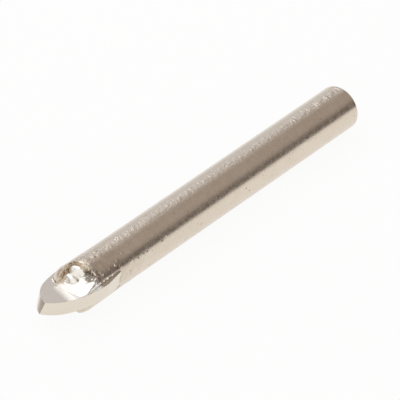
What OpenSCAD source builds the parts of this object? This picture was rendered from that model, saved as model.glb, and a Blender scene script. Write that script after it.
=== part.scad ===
// Spear-point drill bit for glass and tile.
// A carbide plate, ground to an ogive point, is brazed into a slot across the front of a plated steel
// shank. The bit lies along X with its point towards -X and its plate level, its jaws touching z = 0.

/* [Bit] */
// Length from the point to the end of the shank
overall_l = 60; // [45:1:120]
// Diameter of the straight shank
shank_d = 6; // [5.4:0.1:6.6]
// Bevel round the end of the shank
end_bevel = 0.25; // [0.1:0.05:0.6]

/* [Carbide plate] */
// Cutting diameter, over the plate's two shoulders
tip_d = 7.2; // [6.8:0.1:8]
// Thickness of the plate
plate_t = 2; // [1.5:0.1:2.4]
// Length of the plate, from the point to the floor of the slot
plate_l = 11; // [10:0.5:14]
// Distance from the point back to the shoulders
point_l = 8; // [7:0.1:9]
// Angle between the two flanks where they meet at the point
nose_angle = 130; // [110:2:140]
// Radius of each flank near the point
nose_r = 5; // [4:0.1:5.5]
// Relief angle of the flanks and sides
relief = 12; // [6:1:16]
// Direction of the relief, from the bit's axis
relief_dir = 50; // [30:5:90]
// Sideways distance of the ground point from the bit's axis
point_offset = 0.25; // [0:0.05:0.4]
// Angle by which each side draws in behind its shoulder
side_taper = 9.5; // [6:0.5:12]

/* [Jaws] */
// Distance from the point back to the front of the jaws
jaw_setback = 3.9; // [3.4:0.1:4.4]
// Radius that rounds the front of the jaws
jaw_round = 2; // [1.6:0.1:2.4]
// Distance by which the jaws stand out from the shank at their front, spread by the plate
jaw_spread = 0.1; // [0.05:0.05:0.25]
// Distance from the floor of the slot back to the straight shank
head_margin = 1; // [0.5:0.1:3]
// Distance from the point back to the end wall of each chip gullet
gullet_setback = 7; // [6.5:0.1:8]
// Distance by which a gullet reaches past the bit's axis
gullet_reach = 1.3; // [1:0.05:1.5]

/* [Braze] */
// Thickness of the braze between the plate and the slot
braze_gap = 0.08; // [0.04:0.01:0.15]
// Reach of the braze fillet along the plate from the end wall of a gullet
fillet_reach = 3.7; // [3.2:0.1:4.2]
// Rise of the braze fillet up the end wall
fillet_rise = 1; // [0.8:0.05:1.4]
// Radius of the hollow face of the fillet
fillet_r = 16; // [12:0.5:24]
// Thickness of each of the two lumps in which the braze has frozen
lump_d = 1.5; // [1.3:0.1:1.7]
// Distance between the centres of a lump's two round ends
lump_w = 0.6; // [0.4:0.1:0.9]
// Distance of the lumps past the bit's axis
lump_y = 0.2; // [0:0.1:0.4]
// Distance from the end wall to the lump on the plate
low_lump_x = 1.6; // [1.3:0.1:1.8]
// Height of that lump's centre above the plate
low_lump_z = 0.3; // [0.2:0.05:0.4]
// Distance from the end wall to the lump that hangs on the wall
high_lump_x = 0.4; // [0.3:0.05:0.6]
// Height of that lump's centre above the plate
high_lump_z = 0.9; // [0.8:0.05:1]

/* [Hidden] */
$fn = 96;

shank_r = shank_d / 2;
half_t = plate_t / 2;
slot_w = plate_t + 2 * braze_gap;
slot_end = plate_l + braze_gap;
head_l = slot_end + head_margin;
jaw_front = jaw_setback + jaw_round;
half_nose = nose_angle / 2;
// Room for a tool that passes right through the bit
clear = 2 * (tip_d + plate_l);
// Direction across the plate's side once the plate leans under the wheel
side_normal = [
    -sin(relief_dir) * cos(relief_dir) * (1 - cos(relief)),
    pow(cos(relief_dir), 2) + pow(sin(relief_dir), 2) * cos(relief),
    sin(relief_dir) * sin(relief)
];

// Radius of the head, which narrows from the rounded front of the jaws to the straight shank
function head_r(x) = shank_r + jaw_spread * (head_l - x) / (head_l - jaw_front);
// Half width that is ground on one side, so that its leading corner stands at the cutting diameter
function side_w(sideways) = side_normal * [-point_l, tip_d / 2 + sideways, -half_t];
// Slope at which the nose arc runs into the flank arc
function joining_slope(width) =
    2 * atan((width - nose_r * (1 - cos(half_nose))) / (point_l - nose_r * sin(half_nose)));

// Moves a piece from the point's own frame, with the axis along X, to where the bit lies
module lay_down() {
    translate([-overall_l / 2, 0, head_r(gullet_setback)]) children();
}

// A shape and its copy turned half round the axis
module both_sides() {
    children();
    rotate([180, 0, 0]) children();
}

// What one setting of the wheel leaves on the -Y side: a nose arc, a flank arc and a tapered side
module ground_side(sideways) {
    width = side_w(sideways);
    slope = joining_slope(width);
    join_x = nose_r * (sin(half_nose) - sin(slope));
    join_y = nose_r * (cos(half_nose) - cos(slope));
    flank_r = (point_l - join_x) / sin(slope);
    rotate(a = relief, v = [sin(relief_dir), -cos(relief_dir), 0]) {
        translate([nose_r * sin(half_nose), nose_r * cos(half_nose), 0])
            cylinder(r = nose_r, h = clear, center = true);
        intersection() {
            translate([point_l, flank_r - width, 0]) cylinder(r = flank_r, h = clear, center = true);
            translate([join_x, join_y, 0]) rotate([0, 0, -slope])
                translate([0, -clear / 2, -clear / 2]) cube(clear);
            translate([point_l - clear, -width, -clear / 2]) cube(clear);
        }
        translate([point_l, -width, -clear / 2]) rotate([0, 0, side_taper]) cube(clear);
    }
}

// Everything inside both ground sides, however thick
module plate_outline() {
    translate([0, point_offset, 0])
        intersection() {
            ground_side(point_offset);
            rotate([180, 0, 0]) ground_side(-point_offset);
        }
}

// The sintered blank that the plate is ground from, wider than the bit
module plate_blank() {
    translate([-half_t, -tip_d, -half_t]) cube([plate_l + half_t, 2 * tip_d, plate_t]);
}

module plate_body() {
    intersection() {
        plate_blank();
        plate_outline();
    }
}

// Half of the shank's form in section: X runs out from the axis and Y back from the point
module shank_section() {
    jaw_r = head_r(jaw_front);
    polygon([
        [0, jaw_front],
        [jaw_r, jaw_front],
        [shank_r, head_l],
        [shank_r, overall_l - end_bevel],
        [shank_r - end_bevel, overall_l],
        [0, overall_l]
    ]);
    intersection() {
        translate([jaw_r - jaw_round, jaw_front]) circle(r = jaw_round);
        translate([0, jaw_setback]) square([jaw_r, jaw_round]);
    }
    translate([0, jaw_setback]) square([jaw_r - jaw_round, jaw_round]);
}

// The shank before it is slotted
module shank_blank() {
    rotate([0, 90, 0]) rotate_extrude() shank_section();
}

module slot() {
    translate([0, -shank_d, -slot_w / 2]) cube([slot_end, 2 * shank_d, slot_w]);
}

// What the upper gullet takes off its jaw, open to the point and to the -Y side
module gullet() {
    translate([gullet_setback - clear, gullet_reach - clear, 0]) cube(clear);
}

module shank_body() {
    difference() {
        shank_blank();
        slot();
        both_sides() gullet();
    }
}

// Section of the fillet: X runs along the plate from the end wall and Y up the wall
module fillet_section() {
    chord = [-fillet_reach, fillet_rise];
    away = [fillet_rise, fillet_reach] / norm(chord);
    centre = [fillet_reach, 0] + chord / 2 + away * sqrt(fillet_r * fillet_r - chord * chord / 4);
    difference() {
        polygon([[0, 0], [fillet_reach, 0], [0, fillet_rise]]);
        translate(centre) circle(r = fillet_r);
    }
}

// A lump with round ends, drawn out along Y
module lump() {
    for (side = [-1, 1])
        translate([0, side * lump_w / 2, 0]) sphere(d = lump_d);
    rotate([90, 0, 0]) cylinder(d = lump_d, h = lump_w, center = true);
}

// Braze on the plate's upper face: a hollow fillet with two lumps, ground off with the plate's flanks
module face_braze() {
    intersection() {
        translate([gullet_setback, 0, half_t]) {
            translate([0, gullet_reach, 0]) rotate([90, 0, 0]) linear_extrude(height = tip_d)
                mirror([1, 0, 0]) fillet_section();
            translate([-low_lump_x, lump_y, low_lump_z]) lump();
            translate([-high_lump_x, lump_y, high_lump_z]) lump();
        }
        plate_outline();
    }
}

// The cone to which the braze is dressed off, from the cutting diameter down to the shank
module dressing_cone() {
    rotate([0, 90, 0]) cylinder(r1 = tip_d / 2, r2 = shank_r, h = slot_end);
}

// The thin layer of braze between the plate and each jaw, and behind the plate
module braze_film() {
    difference() {
        intersection() {
            shank_blank();
            slot();
        }
        plate_blank();
        both_sides() gullet();
    }
}

module shank() {
    color("#b9b0a5")
        lay_down() shank_body();
}

module carbide_tip() {
    color("#8f8a83")
        lay_down() plate_body();
}

module braze() {
    color("#d8cfc2")
        lay_down()
            difference() {
                intersection() {
                    union() {
                        braze_film();
                        both_sides() face_braze();
                    }
                    dressing_cone();
                }
                plate_body();
                shank_body();
            }
}

shank();
carbide_tip();
braze();
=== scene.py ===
# %% [markdown]
# # A spear-point drill bit for glass and tile
# The bit is a nickel-plated steel shank with a thick carbide plate brazed into a slot across its front.
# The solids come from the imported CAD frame, in metres, lying along X with the point towards -X. Here
# each solid gets a finer skin and the finish that its metal shows, and the bit is set on a pale floor.

# %% Load the frame
import math
import bmesh
import bpy
from mathutils import Matrix, Vector, noise


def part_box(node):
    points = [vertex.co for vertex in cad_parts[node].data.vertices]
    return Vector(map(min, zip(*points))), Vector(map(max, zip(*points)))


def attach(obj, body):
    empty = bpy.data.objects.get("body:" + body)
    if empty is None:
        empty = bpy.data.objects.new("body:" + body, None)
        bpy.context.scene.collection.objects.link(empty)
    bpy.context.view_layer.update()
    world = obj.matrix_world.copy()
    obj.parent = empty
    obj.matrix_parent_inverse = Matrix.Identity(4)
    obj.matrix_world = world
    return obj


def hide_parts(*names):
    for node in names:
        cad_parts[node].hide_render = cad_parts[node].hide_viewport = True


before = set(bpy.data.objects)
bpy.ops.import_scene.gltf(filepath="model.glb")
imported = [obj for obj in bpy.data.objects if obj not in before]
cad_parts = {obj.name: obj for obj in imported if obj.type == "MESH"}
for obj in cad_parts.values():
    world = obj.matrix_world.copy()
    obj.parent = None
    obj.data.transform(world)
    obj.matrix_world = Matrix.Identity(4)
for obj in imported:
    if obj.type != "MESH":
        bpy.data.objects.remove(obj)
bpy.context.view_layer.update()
MM = 0.001

# %% [markdown]
# ## Sizes from the frame
# Every place below is measured from the bit's point and from its axis. Both could be typed in as numbers,
# but the boxes of the CAD nodes give them, and then they follow the CAD. The plate is level, so its box
# gives its two faces and, halfway between them, the axis.

# %% Measure the three nodes
shank_low, shank_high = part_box("shank")
plate_low, plate_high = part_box("carbide_tip")
braze_low, braze_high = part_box("braze")
AXIS_Z = (plate_high.z + plate_low.z) / 2
HALF_PLATE = (plate_high.z - plate_low.z) / 2
POINT_X = plate_low.x
print("shank %.1f mm long, axis %.2f mm above the floor" % ((shank_high.x - shank_low.x) / MM, AXIS_Z / MM))
print("plate %.2f mm thick, with braze %.2f mm above it" % (
    2 * HALF_PLATE / MM, (braze_high.z - plate_high.z) / MM))

# %% [markdown]
# ## Skins with softened edges
# Plating and grinding leave no edge on a real bit quite sharp, and it is the thin highlight along an
# edge that makes metal look solid. A bevel modifier could do it, but here the edges are picked by the
# angle between their faces, so that the fine facets of the round shank stay as they are. The shading
# is then weighted by the size of the faces, or the small bevels would make the flat faces look domed.

# %% Copy a node with a small bevel on its sharp edges
SAME_POINT = 0.001 * MM
FLAT_BELOW = math.radians(0.3)
SHARP_ABOVE = math.radians(25)

def as_mesh(piece, name):
    mesh = bpy.data.meshes.new_from_object(piece.evaluated_get(bpy.context.evaluated_depsgraph_get()))
    piece.modifiers.clear()
    piece.data = mesh
    mesh.name = name
    print(name, "has", len(mesh.polygons), "faces")

def softened(node, name, bevel):
    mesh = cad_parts[node].data.copy()
    mesh.materials.clear()
    shape = bmesh.new()
    shape.from_mesh(mesh)
    bmesh.ops.remove_doubles(shape, verts=shape.verts, dist=SAME_POINT)
    bmesh.ops.dissolve_limit(shape, angle_limit=FLAT_BELOW, verts=shape.verts, edges=shape.edges)
    sharp = [e for e in shape.edges if len(e.link_faces) == 2 and e.calc_face_angle() > SHARP_ABOVE]
    bmesh.ops.bevel(shape, geom=sharp, offset=bevel, segments=2, profile=0.5, affect="EDGES")
    shape.to_mesh(mesh)
    shape.free()
    mesh.shade_smooth()
    piece = bpy.data.objects.new(name, mesh)
    bpy.context.collection.objects.link(piece)
    piece.modifiers.new("flat faces stay flat", "WEIGHTED_NORMAL").weight = 100
    as_mesh(piece, name)
    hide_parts(node)
    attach(piece, "root")
    return piece

# %% Make the shank and the plate
SHANK_BEVEL = 0.06 * MM
PLATE_BEVEL = 0.03 * MM
shank = softened("shank", "plated_shank", SHANK_BEVEL)
plate = softened("carbide_tip", "carbide_plate", PLATE_BEVEL)

# %% [markdown]
# ## Frozen braze
# Braze is melted into the joint and freezes as it drains, so its fillets and lumps are smooth but never
# regular, and drops of it stay behind along the joint as small beads. Sculpting by hand would not be
# repeatable. Here the CAD solid and a few small spheres are remeshed into one skin of even faces, the
# creases are smoothed a little, and the free surface is pushed in and out by a slow noise. Where molten
# braze wets the plate it thins out to nothing, so the toe of each fillet is lowered in a soft curve.

# %% Beads of braze along the joints and at the ends of the upper lump
def from_axis(x, y, z):
    return Vector((POINT_X + x * MM, y * MM, AXIS_Z + z * MM))

# Distance from the point, sideways and up from the axis, and radius, all in millimetres
BEADS = [
    (4.02, 1.45, 1.05, 0.20), (4.10, 1.80, 1.03, 0.17), (4.24, 2.12, 1.05, 0.22),
    (4.50, 2.45, 1.03, 0.18), (6.80, -1.30, 2.10, 0.16), (6.85, -1.85, 1.85, 0.18),
    (6.80, -2.20, 1.60, 0.16), (6.75, -2.50, 1.30, 0.17), (7.25, -2.85, 1.12, 0.18),
    (7.90, -2.87, 1.10, 0.16), (8.60, -2.85, 1.12, 0.20), (9.60, -2.82, 1.10, 0.16),
    (6.55, -0.65, 1.85, 0.50), (6.55, 0.80, 1.95, 0.50)]

def add_beads(mesh):
    shape = bmesh.new()
    shape.from_mesh(mesh)
    for turn in (0.0, math.pi):
        about_axis = Matrix.Translation(from_axis(0, 0, 0)) @ Matrix.Rotation(turn, 4, "X") \
            @ Matrix.Translation(-from_axis(0, 0, 0))
        for x, y, z, radius in BEADS:
            place = about_axis @ Matrix.Translation(from_axis(x, y, z))
            bmesh.ops.create_icosphere(shape, subdivisions=2, radius=radius * MM, matrix=place)
    shape.to_mesh(mesh)
    shape.free()
    print(2 * len(BEADS), "beads")

# %% Remesh the solid and its beads into one skin
VOXEL_MM = 0.05
SAME_CORNER = 0.01 * MM

def even_skin(name):
    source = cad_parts["braze"].data.copy()
    source.materials.clear()
    add_beads(source)
    # The remesh is done in millimetres, because its smallest voxel is a tenth of one in metres
    source.transform(Matrix.Scale(1 / MM, 4))
    piece = bpy.data.objects.new(name, source)
    bpy.context.collection.objects.link(piece)
    remesh = piece.modifiers.new("even faces", "REMESH")
    remesh.mode = "VOXEL"
    remesh.voxel_size = VOXEL_MM
    as_mesh(piece, name)
    piece.data.transform(Matrix.Scale(MM, 4))
    return piece

def mend(shape):
    # Points that coincide in the thin film are merged, and the loose flaps that this leaves are deleted
    bmesh.ops.remove_doubles(shape, verts=shape.verts, dist=SAME_CORNER)
    flaps = [f for f in shape.faces if any(len(e.link_faces) == 1 for e in f.edges)]
    bmesh.ops.delete(shape, geom=flaps, context="FACES")
    print(len(flaps), "loose flaps deleted")

# %% Say how far each point sinks at the toe and swells above it
TOE = 0.7 * MM
TOE_SINK = 0.06 * MM
TOE_WANDER = 0.2 * MM
TOE_WAVE = 1.1 * MM
TOE_SLANT = 0.37
TOE_FLATTENED = 0.8
# Height of each swelling in millimetres, and its width
SLOW_SWELL, SLOW_WIDTH = 0.1, 0.9 * MM
QUICK_SWELL, QUICK_WIDTH = 0.03, 0.3 * MM
STILL_BELOW, SWOLLEN_OVER = 0.1 * MM, 0.6 * MM

def smooth_step(t):
    t = min(1.0, max(0.0, t))
    return t * t * (3 - 2 * t)

def sink_and_swell(v):
    up = 1 if v.co.z > AXIS_Z else -1
    height = up * (v.co.z - AXIS_Z) - HALF_PLATE
    wander = TOE_SLANT * up * v.co.y + TOE_WANDER * noise.noise(Vector((0, v.co.y / TOE_WAVE, up)))
    thinned = 1 - smooth_step((v.co.x - braze_low.x - wander) / TOE)
    sink = Vector((0, 0, -up * thinned * (TOE_FLATTENED * height + TOE_SINK)))
    swell = SLOW_SWELL * noise.noise(v.co / SLOW_WIDTH) + QUICK_SWELL * noise.noise(v.co / QUICK_WIDTH)
    return sink + v.normal * (swell * MM * smooth_step((height - STILL_BELOW) / SWOLLEN_OVER))

print("toe %.1f mm long, swellings up to %.2f mm" % (TOE / MM, SLOW_SWELL + QUICK_SWELL))

# %% Make the braze
SMOOTH_ROUNDS = 8
FILM_EDGE = 0.03 * MM

def frozen_braze():
    piece = even_skin("frozen_braze")
    mesh = piece.data
    shape = bmesh.new()
    shape.from_mesh(mesh)
    mend(shape)
    free = [v for v in shape.verts if abs(v.co.z - AXIS_Z) > HALF_PLATE - FILM_EDGE]
    for smoothing in range(SMOOTH_ROUNDS):
        bmesh.ops.smooth_vert(
            shape, verts=free, factor=0.5, use_axis_x=True, use_axis_y=True, use_axis_z=True)
    shape.normal_update()
    moves = [(v, sink_and_swell(v)) for v in free]
    for v, move in moves:
        v.co += move
    shape.to_mesh(mesh)
    shape.free()
    mesh.shade_smooth()
    print(len(moves), "points on the free surface")
    return piece

braze = frozen_braze()
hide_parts("braze")
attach(braze, "root")

# %% [markdown]
# ## Building materials
# A finish could be painted on an image, but an image has to be unwrapped onto each skin and blurs close
# up. Here each finish is a tree of nodes that works from the place in space, so its patterns keep their
# size in millimetres from every side. Colours are written as they look on a screen, in sRGB, and one
# function turns them to the linear values that Blender's sockets take. A second one adds any node with
# its settings and links.

# %% Colour and node helpers
def linear(code):
    parts = [int(code[i:i + 2], 16) / 255 for i in (1, 3, 5)]
    return tuple(p / 12.92 if p <= 0.04045 else ((p + 0.055) / 1.055) ** 2.4 for p in parts) + (1.0,)

def add(tree, kind, inputs=None, **settings):
    node = tree.nodes.new(kind)
    for name, value in settings.items():
        setattr(node, name, value)
    for name, value in (inputs or {}).items():
        if isinstance(value, bpy.types.NodeSocket):
            tree.links.new(value, node.inputs[name])
        else:
            node.inputs[name].default_value = value
    return node

def start(name):
    material = bpy.data.materials.new(name)
    material.use_nodes = True
    material.node_tree.nodes.clear()
    return material, material.node_tree

def dress(piece, material):
    piece.data.materials.append(material)
    print(piece.name, "wears", material.name, "of", len(material.node_tree.nodes), "nodes")

print("middle grey #808080 is", [round(c, 3) for c in linear("#808080")[:3]], "in linear values")

# %% [markdown]
# ## Nickel plating
# The whole shank is barrel plated: it tumbles in a nickel bath with many others. A drawn bar that was not
# polished first keeps a fine orange peel under the nickel. Blisters crowd where the brazing heat reached,
# small dents run along the top of the bar, and the lathe left rings at its rear. They could be modelled,
# but they are a few hundredths of a millimetre deep and would take millions of faces. So they are bumps,
# each laid over the one before.

# %% Orange peel over the whole bar
# Real peel is about 0.1 mm wide, less than a pixel of the picture, so it is drawn coarser to show
PEEL_WIDTH = 0.5 * MM
PEEL_DEPTH = 0.05 * MM
PEEL_STRENGTH = 0.018

def orange_peel(tree, spot):
    peel = add(tree, "ShaderNodeTexNoise", {
        "Vector": spot, "Scale": 1 / PEEL_WIDTH, "Detail": 3.0, "Roughness": 0.5}).outputs["Fac"]
    bump = add(tree, "ShaderNodeBump", {
        "Height": peel, "Strength": PEEL_STRENGTH, "Distance": PEEL_DEPTH})
    return peel, bump.outputs["Normal"]

print("orange peel %.2f mm wide" % (PEEL_WIDTH / MM))

# %% Blisters, all over near the brazed end and lower along the top of the bar
BLISTER_SPACING = 0.95 * MM
BLISTER_HEIGHT = 0.07 * MM
# A dome's edge and top lie this share of the spacing from its middle
DOME_EDGE, DOME_TOP = 0.36, 0.12
# A cell stays flat if its random value is below the first, and is raised in full above the second
STAYS_FLAT, RAISED_FULL = 0.25, 0.65
COOL_X, HOT_X = POINT_X + 24 * MM, POINT_X + 12 * MM
INNER_RADIUS, OUTER_RADIUS = 2.75 * MM, 2.95 * MM

def blistered(tree, spot, x, radius, crest, under):
    heated = add(tree, "ShaderNodeMapRange", {
        "Value": x, "From Min": COOL_X, "From Max": HOT_X}, interpolation_type="SMOOTHSTEP")
    crowded = add(tree, "ShaderNodeMath", {0: heated.outputs["Result"], 1: crest}, operation="MAXIMUM")
    outside = add(tree, "ShaderNodeMapRange", {
        "Value": radius, "From Min": INNER_RADIUS, "From Max": OUTER_RADIUS})
    where = add(tree, "ShaderNodeMath", {
        0: crowded.outputs[0], 1: outside.outputs["Result"]}, operation="MULTIPLY")
    cells = add(tree, "ShaderNodeTexVoronoi", {
        "Vector": spot, "Scale": 1 / BLISTER_SPACING, "Randomness": 1.0})
    dome = add(tree, "ShaderNodeMapRange", {
        "Value": cells.outputs["Distance"], "From Min": DOME_EDGE, "From Max": DOME_TOP},
        interpolation_type="SMOOTHSTEP")
    chance = add(tree, "ShaderNodeSeparateColor", {0: cells.outputs["Color"]})
    chosen = add(tree, "ShaderNodeMapRange", {
        "Value": chance.outputs[0], "From Min": STAYS_FLAT, "From Max": RAISED_FULL})
    raised = add(tree, "ShaderNodeMath", {
        0: dome.outputs["Result"], 1: chosen.outputs["Result"]}, operation="MULTIPLY")
    blister = add(tree, "ShaderNodeMath", {0: raised.outputs[0], 1: where.outputs[0]}, operation="MULTIPLY")
    return add(tree, "ShaderNodeBump", {
        "Height": blister.outputs[0], "Strength": 1.0, "Distance": BLISTER_HEIGHT,
        "Normal": under}).outputs["Normal"]

print("blisters %.2f mm apart and %.2f mm high" % (BLISTER_SPACING / MM, BLISTER_HEIGHT / MM))

# %% Dents along the top of the bar
# Noise is 0.5 on average, which is taken away so that the dents don't lift the top as a whole. What is
# left is small and counts only in part on the crest, so this depth gives dents of a few hundredths.
NOISE_MEAN = 0.5
DENT_WIDTH = 0.6 * MM
DENT_DEPTH = 0.5 * MM

def dented(tree, spot, crest, under):
    waves = add(tree, "ShaderNodeTexNoise", {
        "Vector": spot, "Scale": 1 / DENT_WIDTH, "Detail": 2.0, "Roughness": 0.6})
    up_and_down = add(tree, "ShaderNodeMath", {
        0: waves.outputs["Fac"], 1: NOISE_MEAN}, operation="SUBTRACT")
    height = add(tree, "ShaderNodeMath", {0: up_and_down.outputs[0], 1: crest}, operation="MULTIPLY")
    return add(tree, "ShaderNodeBump", {
        "Height": height.outputs[0], "Strength": 1.0, "Distance": DENT_DEPTH,
        "Normal": under}).outputs["Normal"]

print("dents %.2f mm wide" % (DENT_WIDTH / MM))

# %% Rings left by turning at the rear end
# Real turning marks are about 0.1 mm apart, so these too are drawn coarser to show
RING_SPACING = 0.5 * MM
RING_LENGTH = 2.5 * MM
RING_DEPTH = 0.9 * MM
RINGS_START, RINGS_FULL = POINT_X + 44 * MM, POINT_X + 58 * MM

def ringed(tree, spot, x, crest, under):
    rear = add(tree, "ShaderNodeMapRange", {"Value": x, "From Min": RINGS_START, "From Max": RINGS_FULL})
    rear_top = add(tree, "ShaderNodeMath", {0: rear.outputs["Result"], 1: crest}, operation="MULTIPLY")
    squeezed = add(tree, "ShaderNodeVectorMath", {
        0: spot, 1: (1 / RING_SPACING, 1 / RING_LENGTH, 1 / RING_LENGTH)}, operation="MULTIPLY")
    rings = add(tree, "ShaderNodeTexNoise", {"Vector": squeezed.outputs[0], "Scale": 1.0, "Detail": 2.0})
    in_and_out = add(tree, "ShaderNodeMath", {
        0: rings.outputs["Fac"], 1: NOISE_MEAN}, operation="SUBTRACT")
    height = add(tree, "ShaderNodeMath", {
        0: in_and_out.outputs[0], 1: rear_top.outputs[0]}, operation="MULTIPLY")
    return add(tree, "ShaderNodeBump", {
        "Height": height.outputs[0], "Strength": 1.0, "Distance": RING_DEPTH,
        "Normal": under}).outputs["Normal"]

print("rings %.2f mm apart over the last %.0f mm" % (RING_SPACING / MM, (shank_high.x - RINGS_START) / MM))

# %% Slow changes of tone, with a few dark flecks and one dark spot of painted shade at the rear corner of the plate
NICKEL, DULL_NICKEL, FLECK_AND_SHADE_NICKEL = linear("#e4d8c9"), linear("#d8cab7"), linear("#6b5f57")
STAIN_WIDTH = 2.5 * MM
FLECK_SPACING = 0.45 * MM
FLECK_EDGE, FLECK_CORE, FLECK_DARK = 0.74, 0.8, 0.6
# A dark spot of painted shade, where the plate's rear end meets the shank on the side of the open corner
SHADE_SPOT_PLACE = from_axis(10.75, -2.53, 1.62)
SHADE_SPOT_EDGE, SHADE_SPOT_CORE, SHADE_SPOT_DARK = 0.36 * MM, 0.12 * MM, 0.75

def nickel_tone(tree, spot):
    stain = add(tree, "ShaderNodeTexNoise", {
        "Vector": spot, "Scale": 1 / STAIN_WIDTH, "Detail": 4.0, "Roughness": 0.6})
    tone = add(tree, "ShaderNodeMix", {
        "Factor": stain.outputs["Fac"], "A": NICKEL, "B": DULL_NICKEL}, data_type="RGBA")
    specks = add(tree, "ShaderNodeTexNoise", {"Vector": spot, "Scale": 1 / FLECK_SPACING, "Detail": 1.0})
    fleck = add(tree, "ShaderNodeMapRange", {
        "Value": specks.outputs["Fac"], "From Min": FLECK_EDGE, "From Max": FLECK_CORE, "To Max": FLECK_DARK})
    reach = add(tree, "ShaderNodeVectorMath", {0: spot, 1: SHADE_SPOT_PLACE}, operation="DISTANCE")
    painted_shade = add(tree, "ShaderNodeMapRange", {
        "Value": reach.outputs["Value"], "From Min": SHADE_SPOT_EDGE, "From Max": SHADE_SPOT_CORE, "To Max": SHADE_SPOT_DARK},
        interpolation_type="SMOOTHSTEP")
    # The flecks of the plating and the spot of painted shade, taken together
    fleck_and_shade = add(tree, "ShaderNodeMath", {
        0: fleck.outputs["Result"], 1: painted_shade.outputs["Result"]}, operation="MAXIMUM")
    return add(tree, "ShaderNodeMix", {
        "Factor": fleck_and_shade.outputs[0], "A": tone.outputs["Result"], "B": FLECK_AND_SHADE_NICKEL},
        data_type="RGBA").outputs["Result"]

print("pit %.2f mm across, %.1f mm from the point" % (2 * SHADE_SPOT_EDGE / MM, (SHADE_SPOT_PLACE.x - POINT_X) / MM))

# %% [markdown]
# ## Marks of the brazing heat
# Brazing has tinted the front of the bar brown in clouds, and flux has burnt on in the two corners of each
# gullet. The dark char at the open corner is burnt flux and also painted shade, darkening that recess. Both
# could be painted on by hand. Here the tint fades with the distance from the point and the flux with the
# distance from a named corner, so the marks lie where the heat was on both sides of the bit.

# %% Heat tint behind the gullets
HEAT_TINT = linear("#b3a08c")
CLOUD_WIDTH = 0.8 * MM
CLOUD_EDGE, CLOUD_CORE, TINT_MOST = 0.42, 0.58, 0.3
TINT_ENDS, TINT_FULL = POINT_X + 16 * MM, POINT_X + 9 * MM
GULLET_END, BEHIND_GULLET = POINT_X + 6.9 * MM, POINT_X + 7.5 * MM

def heat_tinted(tree, spot, x, under):
    clouds = add(tree, "ShaderNodeTexNoise", {"Vector": spot, "Scale": 1 / CLOUD_WIDTH, "Detail": 3.0})
    clouded = add(tree, "ShaderNodeMapRange", {
        "Value": clouds.outputs["Fac"], "From Min": CLOUD_EDGE, "From Max": CLOUD_CORE, "To Max": TINT_MOST})
    hot = add(tree, "ShaderNodeMapRange", {"Value": x, "From Min": TINT_ENDS, "From Max": TINT_FULL})
    behind = add(tree, "ShaderNodeMapRange", {
        "Value": x, "From Min": GULLET_END, "From Max": BEHIND_GULLET, "To Max": hot.outputs["Result"]})
    tint = add(tree, "ShaderNodeMath", {
        0: clouded.outputs["Result"], 1: behind.outputs["Result"]}, operation="MULTIPLY")
    return add(tree, "ShaderNodeMix", {
        "Factor": tint.outputs[0], "A": under, "B": HEAT_TINT}, data_type="RGBA").outputs["Result"]

print("heat tint from %.1f to %.1f mm behind the point" % (
    (GULLET_END - POINT_X) / MM, (TINT_ENDS - POINT_X) / MM))

# %% Burnt flux round a corner of each gullet
# Each corner is given as the beads are. The lower gullet is the upper one turned half round the axis.
OPEN_CORNER, CLOSED_CORNER = (6.9, -1.9, 1.7), (6.6, 1.3, 2.2)
FLUX_PATCH = 0.35 * MM
FLUX_GONE, FLUX_WHOLE = 0.64, 0.54

def burnt_flux(tree, spot, corner, outer, inner, most):
    x, y, z = corner
    patches = add(tree, "ShaderNodeTexNoise", {"Vector": spot, "Scale": 1 / FLUX_PATCH, "Detail": 2.0})
    patchy = add(tree, "ShaderNodeMapRange", {
        "Value": patches.outputs["Fac"], "From Min": FLUX_GONE, "From Max": FLUX_WHOLE})
    upper = add(tree, "ShaderNodeVectorMath", {0: spot, 1: from_axis(x, y, z)}, operation="DISTANCE")
    lower = add(tree, "ShaderNodeVectorMath", {0: spot, 1: from_axis(x, -y, -z)}, operation="DISTANCE")
    nearest = add(tree, "ShaderNodeMath", {
        0: upper.outputs["Value"], 1: lower.outputs["Value"]}, operation="MINIMUM")
    burnt = add(tree, "ShaderNodeMapRange", {
        "Value": nearest.outputs[0], "From Min": outer, "From Max": inner, "To Max": most})
    return add(tree, "ShaderNodeMath", {
        0: burnt.outputs["Result"], 1: patchy.outputs["Result"]}, operation="MULTIPLY").outputs[0]

print("flux burnt round", OPEN_CORNER, "and", CLOSED_CORNER, "mm, in patches of %.2f mm" % (FLUX_PATCH / MM))

# %% Flux on the shank: scorched inside the gullet, charred and painted shade at its open corner
# The charred colour stands for burnt flux and also for painted shade in the open corner
SCORCHED, CHAR_AND_SHADE = linear("#d9c6b0"), linear("#6b5847")
# Where each patch ends, where it is at its full strength, and that strength
SCORCH_REACH = (2.6 * MM, 1.2 * MM, 0.9)
CHAR_AND_SHADE_REACH = (1.5 * MM, 0.95 * MM, 0.95)
GULLET_LIP, GULLET_INSIDE = 2.95 * MM, 2.8 * MM

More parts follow.
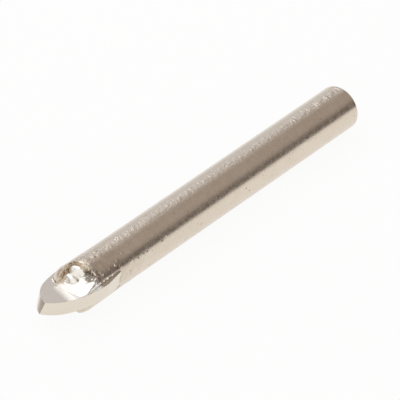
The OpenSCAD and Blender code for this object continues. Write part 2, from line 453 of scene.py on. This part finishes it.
def flux_on_shank(tree, spot, radius, under):
    scorch = burnt_flux(tree, spot, CLOSED_CORNER, *SCORCH_REACH)
    inside = add(tree, "ShaderNodeMapRange", {
        "Value": radius, "From Min": GULLET_LIP, "From Max": GULLET_INSIDE, "To Max": scorch})
    scorched = add(tree, "ShaderNodeMix", {
        "Factor": inside.outputs["Result"], "A": under, "B": SCORCHED}, data_type="RGBA")
    # Charred flux and painted shade: the open corner of the gullet is darkened
    char_and_painted_shade = burnt_flux(tree, spot, OPEN_CORNER, *CHAR_AND_SHADE_REACH)
    charred_and_shaded = add(tree, "ShaderNodeMix", {
        "Factor": char_and_painted_shade, "A": scorched.outputs["Result"], "B": CHAR_AND_SHADE}, data_type="RGBA")
    flux_and_shade = add(tree, "ShaderNodeMath", {0: inside.outputs["Result"], 1: char_and_painted_shade}, operation="MAXIMUM")
    bare = add(tree, "ShaderNodeMath", {0: 1.0, 1: flux_and_shade.outputs[0]}, operation="SUBTRACT")
    return charred_and_shaded.outputs["Result"], bare.outputs[0]

print("scorched within %.1f mm and charred within %.1f mm of a corner" % (
    SCORCH_REACH[0] / MM, CHAR_AND_SHADE_REACH[0] / MM))

# %% Nickel plated over drawn steel
# To the eye: a warm pale metal with soft reflections that break up along the top and near the braze.
# Burnt flux is a dull crust, so the metal is bare only where it isn't. At the open corner it is dark, painted
# shade as well as flux.
CREST_EDGE, CREST_TOP, CREST_SHARE = AXIS_Z + 2.86 * MM, AXIS_Z + 2.98 * MM, 0.25
NOISE_LOW, NOISE_HIGH = 0.3, 0.7
NICKEL_GLOSSY, NICKEL_MATT = 0.21, 0.31

def nickel_plated_steel():
    material, tree = start("nickel plated over drawn steel")
    spot = add(tree, "ShaderNodeTexCoord").outputs["Object"]
    along = add(tree, "ShaderNodeSeparateXYZ", {0: spot})
    x, z = along.outputs["X"], along.outputs["Z"]
    across = add(tree, "ShaderNodeVectorMath", {
        0: spot, 1: (0, 1, 1), 2: (0, 0, -AXIS_Z)}, operation="MULTIPLY_ADD")
    radius = add(tree, "ShaderNodeVectorMath", {0: across.outputs[0]}, operation="LENGTH").outputs["Value"]
    crest = add(tree, "ShaderNodeMapRange", {
        "Value": z, "From Min": CREST_EDGE, "From Max": CREST_TOP, "To Max": CREST_SHARE}).outputs["Result"]

    peel, surface = orange_peel(tree, spot)
    surface = blistered(tree, spot, x, radius, crest, surface)
    surface = dented(tree, spot, crest, surface)
    surface = ringed(tree, spot, x, crest, surface)
    colour = heat_tinted(tree, spot, x, nickel_tone(tree, spot))
    colour, bare = flux_on_shank(tree, spot, radius, colour)
    rough = add(tree, "ShaderNodeMapRange", {
        "Value": peel, "From Min": NOISE_LOW, "From Max": NOISE_HIGH,
        "To Min": NICKEL_GLOSSY, "To Max": NICKEL_MATT})
    metal = add(tree, "ShaderNodeBsdfPrincipled", {
        "Base Color": colour, "Metallic": bare, "Roughness": rough.outputs["Result"], "Normal": surface})
    add(tree, "ShaderNodeOutputMaterial", {"Surface": metal.outputs[0]})
    return material

dress(shank, nickel_plated_steel())

# %% [markdown]
# ## Ground carbide
# The plate is sintered tungsten carbide, a dense grey metal. Its flanks are ground with a diamond wheel,
# which leaves fine lines along them, and its two faces are lapped and a little duller. Braze has crept out
# over each face in a thin frosted film. The lines could be an anisotropic gloss, but a noise that is
# squeezed across the flank and long along it also gives the small changes of tone. The film is too thin
# to model, so it is colour, gloss and a bump that rises in a hollow curve towards the fillet.

# %% Lines of the wheel, and the facet beside the point
# Real wheel lines are about 0.02 mm apart, so they are drawn coarser to show
LINE_SPACING = 0.09 * MM
LINE_LENGTH = 4 * MM
FLANK, FLANK_LINE, BROWNED = linear("#ece3d5"), linear("#dcd3c4"), linear("#7d6654")
HOT_FACET = Vector((-0.9, 0.4, 0.18)).normalized()
FACET_EDGE, FACET_FULL, FACET_BROWN = 0.93, 0.99, 0.72

def wheel_lines(tree, spot):
    squeezed = add(tree, "ShaderNodeVectorMath", {
        0: spot, 1: (1 / LINE_LENGTH, 1 / LINE_LENGTH, 1 / LINE_SPACING)}, operation="MULTIPLY")
    return add(tree, "ShaderNodeTexNoise", {
        "Vector": squeezed.outputs[0], "Scale": 1.0, "Detail": 3.0}).outputs["Fac"]

def flank_tone(tree, lines, normal):
    tone = add(tree, "ShaderNodeMix", {
        "Factor": lines, "A": FLANK, "B": FLANK_LINE}, data_type="RGBA")
    # The facet beside the point was ground hot and has browned
    facing = add(tree, "ShaderNodeVectorMath", {0: normal, 1: HOT_FACET}, operation="DOT_PRODUCT")
    browned = add(tree, "ShaderNodeMapRange", {
        "Value": facing.outputs["Value"], "From Min": FACET_EDGE, "From Max": FACET_FULL,
        "To Max": FACET_BROWN},
        interpolation_type="SMOOTHSTEP")
    return add(tree, "ShaderNodeMix", {
        "Factor": browned.outputs["Result"], "A": tone.outputs["Result"], "B": BROWNED},
        data_type="RGBA").outputs["Result"]

print("wheel lines %.2f mm apart" % (LINE_SPACING / MM))

# %% Where the faces are level, where the film has crept to and where soot lies
FILM_START, FILM_FULL = braze_low.x - 0.8 * MM, braze_low.x + 0.6 * MM
RIB_SIDE, OPEN_SIDE = 1.6 * MM, 0.9 * MM
STEEP, LEVEL = 0.9, 0.98
SOOT_START, SOOT_FULL = POINT_X + 6.6 * MM, POINT_X + 7.2 * MM

def marks_on_faces(tree, spot, normal):
    x, y, z = add(tree, "ShaderNodeSeparateXYZ", {0: spot}).outputs
    faced = add(tree, "ShaderNodeVectorMath", {0: normal, 1: (0, 0, 1)}, operation="DOT_PRODUCT")
    upright = add(tree, "ShaderNodeMath", {0: faced.outputs["Value"]}, operation="ABSOLUTE").outputs[0]
    lapped = add(tree, "ShaderNodeMapRange", {"Value": upright, "From Min": STEEP, "From Max": LEVEL})
    above = add(tree, "ShaderNodeMath", {0: z, 1: AXIS_Z}, operation="SUBTRACT")
    up = add(tree, "ShaderNodeMath", {0: above.outputs[0]}, operation="SIGN")
    over = add(tree, "ShaderNodeMath", {0: y, 1: up.outputs[0]}, operation="MULTIPLY").outputs[0]
    open_side = add(tree, "ShaderNodeMapRange", {
        "Value": over, "From Min": RIB_SIDE, "From Max": OPEN_SIDE}, interpolation_type="SMOOTHSTEP")
    level = add(tree, "ShaderNodeMapRange", {
        "Value": upright, "From Min": STEEP, "From Max": LEVEL,
        "To Max": open_side.outputs["Result"]}).outputs["Result"]
    front = add(tree, "ShaderNodeMath", {0: over, 1: -TOE_SLANT, 2: x}, operation="MULTIPLY_ADD")
    crept = add(tree, "ShaderNodeMapRange", {
        "Value": front.outputs[0], "From Min": FILM_START, "From Max": FILM_FULL})
    film = add(tree, "ShaderNodeMath", {0: crept.outputs["Result"], 1: level}, operation="MULTIPLY")
    soot = add(tree, "ShaderNodeMapRange", {
        "Value": x, "From Min": SOOT_START, "From Max": SOOT_FULL, "To Max": level})
    return lapped.outputs["Result"], film.outputs[0], soot.outputs["Result"]

print("film of braze from %.1f mm behind the point, soot from %.1f mm" % (
    (FILM_START - POINT_X) / MM, (SOOT_START - POINT_X) / MM))

# %% Carbide ground with a diamond wheel
# To the eye: an even satin metal, clear on the flanks and greyer on the faces, white where braze wets it.
# Real carbide grain is a few thousandths of a millimetre, so it is drawn coarser to vary the gloss.
GRAIN_WIDTH = 0.2 * MM
CARBIDE_GLOSSY, CARBIDE_MATT = 0.16, 0.26
LINE_DEPTH, LINE_STRENGTH = 0.03 * MM, 0.15
FILM_HEIGHT, FILM_HOLLOW, FILM_FROST = 0.12 * MM, 2.0, 0.25
LAPPED, WHITE_BRAZE, SOOTY = linear("#dcd2c5"), linear("#faf7f1"), linear("#ab9b89")

def ground_carbide():
    material, tree = start("tungsten carbide ground with a diamond wheel")
    place = add(tree, "ShaderNodeTexCoord")
    spot, normal = place.outputs["Object"], place.outputs["Normal"]
    lines = wheel_lines(tree, spot)
    lapped, film, soot = marks_on_faces(tree, spot, normal)
    colour = flank_tone(tree, lines, normal)
    for share, tone in ((lapped, LAPPED), (film, WHITE_BRAZE), (soot, SOOTY)):
        colour = add(tree, "ShaderNodeMix", {
            "Factor": share, "A": colour, "B": tone}, data_type="RGBA").outputs["Result"]
    grain = add(tree, "ShaderNodeTexNoise", {"Vector": spot, "Scale": 1 / GRAIN_WIDTH, "Detail": 2.0})
    rough = add(tree, "ShaderNodeMapRange", {
        "Value": grain.outputs["Fac"], "From Min": NOISE_LOW, "From Max": NOISE_HIGH,
        "To Min": CARBIDE_GLOSSY, "To Max": CARBIDE_MATT})
    frosted = add(tree, "ShaderNodeMath", {
        0: film, 1: FILM_FROST, 2: rough.outputs["Result"]}, operation="MULTIPLY_ADD")
    bump = add(tree, "ShaderNodeBump", {"Height": lines, "Strength": LINE_STRENGTH, "Distance": LINE_DEPTH})
    lift = add(tree, "ShaderNodeMath", {0: film, 1: FILM_HOLLOW}, operation="POWER")
    film_bump = add(tree, "ShaderNodeBump", {
        "Height": lift.outputs[0], "Strength": 1.0, "Distance": FILM_HEIGHT,
        "Normal": bump.outputs["Normal"]})
    metal = add(tree, "ShaderNodeBsdfPrincipled", {
        "Base Color": colour, "Metallic": 1.0, "Roughness": frosted.outputs[0],
        "Normal": film_bump.outputs["Normal"]})
    add(tree, "ShaderNodeOutputMaterial", {"Surface": metal.outputs[0]})
    return material

dress(plate, ground_carbide())

# %% [markdown]
# ## Braze alloy
# The braze is a pale silver alloy that froze from the melt. It could be a plain mirror, but it freezes with
# a faint ripple, goes frosty where it thins out over the plate, and is charred where the flux burnt; that
# dark char at the open corner is also painted shade. One noise gives the ripple to colour, gloss and bump
# together, and the height above the plate gives the frost.

# %% Silver braze as it froze
# To the eye: the brightest and smoothest metal on the bit
RIPPLE_WIDTH = 0.4 * MM
RIPPLE_DEPTH, RIPPLE_STRENGTH = 0.06 * MM, 0.25
BRAZE_GLOSSY, BRAZE_MATT = 0.2, 0.32
BRAZE_CHAR_AND_SHADE_REACH = (1.15 * MM, 0.8 * MM, 0.85)
DULL_BRAZE = linear("#ebe5db")
FROST_BELOW, FROST = HALF_PLATE + 0.3 * MM, 0.25

def silver_braze():
    material, tree = start("silver braze as it froze")
    spot = add(tree, "ShaderNodeTexCoord").outputs["Object"]
    ripple = add(tree, "ShaderNodeTexNoise", {
        "Vector": spot, "Scale": 1 / RIPPLE_WIDTH, "Detail": 2.0}).outputs["Fac"]
    colour = add(tree, "ShaderNodeMix", {
        "Factor": ripple, "A": WHITE_BRAZE, "B": DULL_BRAZE}, data_type="RGBA")
    rough = add(tree, "ShaderNodeMapRange", {
        "Value": ripple, "From Min": NOISE_LOW, "From Max": NOISE_HIGH,
        "To Min": BRAZE_GLOSSY, "To Max": BRAZE_MATT})
    z = add(tree, "ShaderNodeSeparateXYZ", {0: spot}).outputs["Z"]
    above = add(tree, "ShaderNodeMath", {0: z, 1: AXIS_Z}, operation="SUBTRACT")
    height = add(tree, "ShaderNodeMath", {0: above.outputs[0]}, operation="ABSOLUTE")
    thin = add(tree, "ShaderNodeMapRange", {
        "Value": height.outputs[0], "From Min": FROST_BELOW, "From Max": HALF_PLATE, "To Max": FROST})
    frosted = add(tree, "ShaderNodeMath", {
        0: rough.outputs["Result"], 1: thin.outputs["Result"]}, operation="ADD")
    # Charred flux on the braze at the open corner, which is also painted shade
    flux_and_shade = burnt_flux(tree, spot, OPEN_CORNER, *BRAZE_CHAR_AND_SHADE_REACH)
    charred_and_shaded = add(tree, "ShaderNodeMix", {
        "Factor": flux_and_shade, "A": colour.outputs["Result"], "B": CHAR_AND_SHADE}, data_type="RGBA")
    bare = add(tree, "ShaderNodeMath", {0: 1.0, 1: flux_and_shade}, operation="SUBTRACT")
    bump = add(tree, "ShaderNodeBump", {
        "Height": ripple, "Strength": RIPPLE_STRENGTH, "Distance": RIPPLE_DEPTH})
    metal = add(tree, "ShaderNodeBsdfPrincipled", {
        "Base Color": charred_and_shaded.outputs["Result"], "Metallic": bare.outputs[0],
        "Roughness": frosted.outputs[0], "Normal": bump.outputs["Normal"]})
    add(tree, "ShaderNodeOutputMaterial", {"Surface": metal.outputs[0]})
    return material

dress(braze, silver_braze())

# %% [markdown]
# ## Camera
# The photograph was taken with a long lens, looking down along the bit from above its point. A camera
# could be turned by hand until the pictures agree. Here its angles, distance and aim were worked out from
# the two outlines of the shank and from its end, which leaves nothing to judge by eye.

# %% Set the camera
VIEW_AZIMUTH = math.radians(-52.197)
VIEW_ELEVATION = math.radians(32.088)
VIEW_DISTANCE = 491.6 * MM
SENSOR_MM, LENS_MM = 36, 354.94
NEAREST_SEEN = 0.01
AIM = Vector((0.88 * MM, 0.372 * MM, AXIS_Z))
back = Vector((math.sin(VIEW_AZIMUTH) * math.cos(VIEW_ELEVATION),
               -math.cos(VIEW_AZIMUTH) * math.cos(VIEW_ELEVATION), math.sin(VIEW_ELEVATION)))
camera = bpy.data.objects.new("camera", bpy.data.cameras.new("camera"))
bpy.context.collection.objects.link(camera)
camera.data.sensor_width = SENSOR_MM
camera.data.lens = LENS_MM
camera.data.clip_start = NEAREST_SEEN
camera.location = AIM + back * VIEW_DISTANCE
camera.rotation_euler = back.to_track_quat("Z", "Y").to_euler()
bpy.context.scene.camera = camera
print("camera at", [round(c / MM, 1) for c in camera.location], "mm")

# %% [markdown]
# ## Floor and studio
# A bare metal shows what stands round it, so its bands of light and dark come from the studio more than
# from its own colour. The studio could be a photographed panorama, but a few plain surfaces are easier to
# place: a pale backdrop, a duller warm wall on the camera's right, a brown one low on its left, a white
# card behind the camera and a soft lamp overhead. The floor is matt white paper. It glows just under white
# for the camera and in reflections, and the rest of it takes the light, so it keeps the bit's shadow.

# %% Lay the floor
# To the eye: an even white without gloss
WHITE = (1, 1, 1, 1)
PAPER = linear("#f4f3f1")
PAPER_GLOW, PAPER_ROUGHNESS = 0.92, 0.9
FLOOR_HALF = 2.0

def white_paper():
    material, tree = start("matt white paper")
    paper = add(tree, "ShaderNodeBsdfPrincipled", {"Base Color": PAPER, "Roughness": PAPER_ROUGHNESS})
    white = add(tree, "ShaderNodeEmission", {"Color": WHITE, "Strength": 1.0})
    rays = add(tree, "ShaderNodeLightPath")
    mirrored = add(tree, "ShaderNodeMath", {
        0: rays.outputs["Is Glossy Ray"], 1: rays.outputs["Is Transmission Ray"]}, operation="MAXIMUM")
    looked_at = add(tree, "ShaderNodeMath", {
        0: rays.outputs["Is Camera Ray"], 1: mirrored.outputs[0]}, operation="MAXIMUM")
    share = add(tree, "ShaderNodeMath", {0: looked_at.outputs[0], 1: PAPER_GLOW}, operation="MULTIPLY")
    lit = add(tree, "ShaderNodeMixShader", {0: share.outputs[0], 1: paper.outputs[0], 2: white.outputs[0]})
    add(tree, "ShaderNodeOutputMaterial", {"Surface": lit.outputs[0]})
    return material

corners = [(sx * FLOOR_HALF, sy * FLOOR_HALF, 0) for sx, sy in ((-1, -1), (1, -1), (1, 1), (-1, 1))]
floor_mesh = bpy.data.meshes.new("floor")
floor_mesh.from_pydata(corners, [], [(0, 1, 2, 3)])
floor = bpy.data.objects.new("floor", floor_mesh)
bpy.context.collection.objects.link(floor)
dress(floor, white_paper())

# %% Put up the walls, the backdrop and the white card
BACKDROP, LEFT_WALL = linear("#dcdde2"), linear("#8a7a6c")
RIGHT_WALL_LOW, RIGHT_WALL_HIGH = linear("#6e6663"), linear("#aca29c")
right = Vector((math.cos(VIEW_AZIMUTH), math.sin(VIEW_AZIMUTH), 0))

def studio_walls(tree):
    ray = add(tree, "ShaderNodeTexCoord").outputs["Generated"]
    height = add(tree, "ShaderNodeSeparateXYZ", {0: ray}).outputs["Z"]
    sideways = add(tree, "ShaderNodeVectorMath", {0: ray, 1: right}, operation="DOT_PRODUCT").outputs["Value"]
    frontal = add(tree, "ShaderNodeVectorMath", {0: ray, 1: back}, operation="DOT_PRODUCT").outputs["Value"]
    # Each place in the room is a direction, where it starts to count and where it counts in full
    places = {
        "high on the right": (height, 0.26, 0.54), "right": (sideways, 0.05, 0.4),
        "left": (sideways, -0.45, -0.65), "below the lamp": (height, 0.55, 0.4),
        "behind the camera": (frontal, 0.2, 0.45)}
    part = {}
    for name, (direction, begin, full) in places.items():
        part[name] = add(tree, "ShaderNodeMapRange", {
            "Value": direction, "From Min": begin, "From Max": full},
            interpolation_type="SMOOTHSTEP").outputs["Result"]
    low_left = add(tree, "ShaderNodeMath", {0: part["left"], 1: part["below the lamp"]}, operation="MULTIPLY")
    right_wall = add(tree, "ShaderNodeMix", {
        "Factor": part["high on the right"], "A": RIGHT_WALL_LOW, "B": RIGHT_WALL_HIGH}, data_type="RGBA")
    looked_at = add(tree, "ShaderNodeLightPath").outputs["Is Camera Ray"]
    # Each surface covers the ones before it, and the camera itself sees plain white
    layers = [
        (low_left.outputs[0], LEFT_WALL), (part["right"], right_wall.outputs["Result"]),
        (part["behind the camera"], WHITE), (looked_at, WHITE)]
    seen = BACKDROP
    for share, tone in layers:
        seen = add(tree, "ShaderNodeMix", {
            "Factor": share, "A": seen, "B": tone}, data_type="RGBA").outputs["Result"]
    return seen

world = bpy.data.worlds.new("studio")
bpy.context.scene.world = world
world.use_nodes = True
world.node_tree.nodes.clear()
sky = add(world.node_tree, "ShaderNodeBackground", {"Color": studio_walls(world.node_tree), "Strength": 1.0})
add(world.node_tree, "ShaderNodeOutputWorld", {"Surface": sky.outputs[0]})
print("studio of", len(world.node_tree.nodes), "nodes")

# %% Hang the lamp
LAMP_SIZE, LAMP_WATTS = 0.4, 0.5
LAMP_PLACE = Vector((0.09, 0.31, 0.5))
lamp = bpy.data.objects.new("soft lamp", bpy.data.lights.new("soft lamp", "AREA"))
bpy.context.collection.objects.link(lamp)
lamp.data.shape = "SQUARE"
lamp.data.size = LAMP_SIZE
lamp.data.energy = LAMP_WATTS
lamp.location = LAMP_PLACE
lamp.rotation_euler = lamp.location.to_track_quat("Z", "Y").to_euler()
print("lamp %.2f m from the bit" % lamp.location.length)

# %% [markdown]
# ## Finish
# The view transform is Standard, so that a colour renders about as it is written.

# %% Set the view transform
bpy.context.scene.view_settings.view_transform = "Standard"
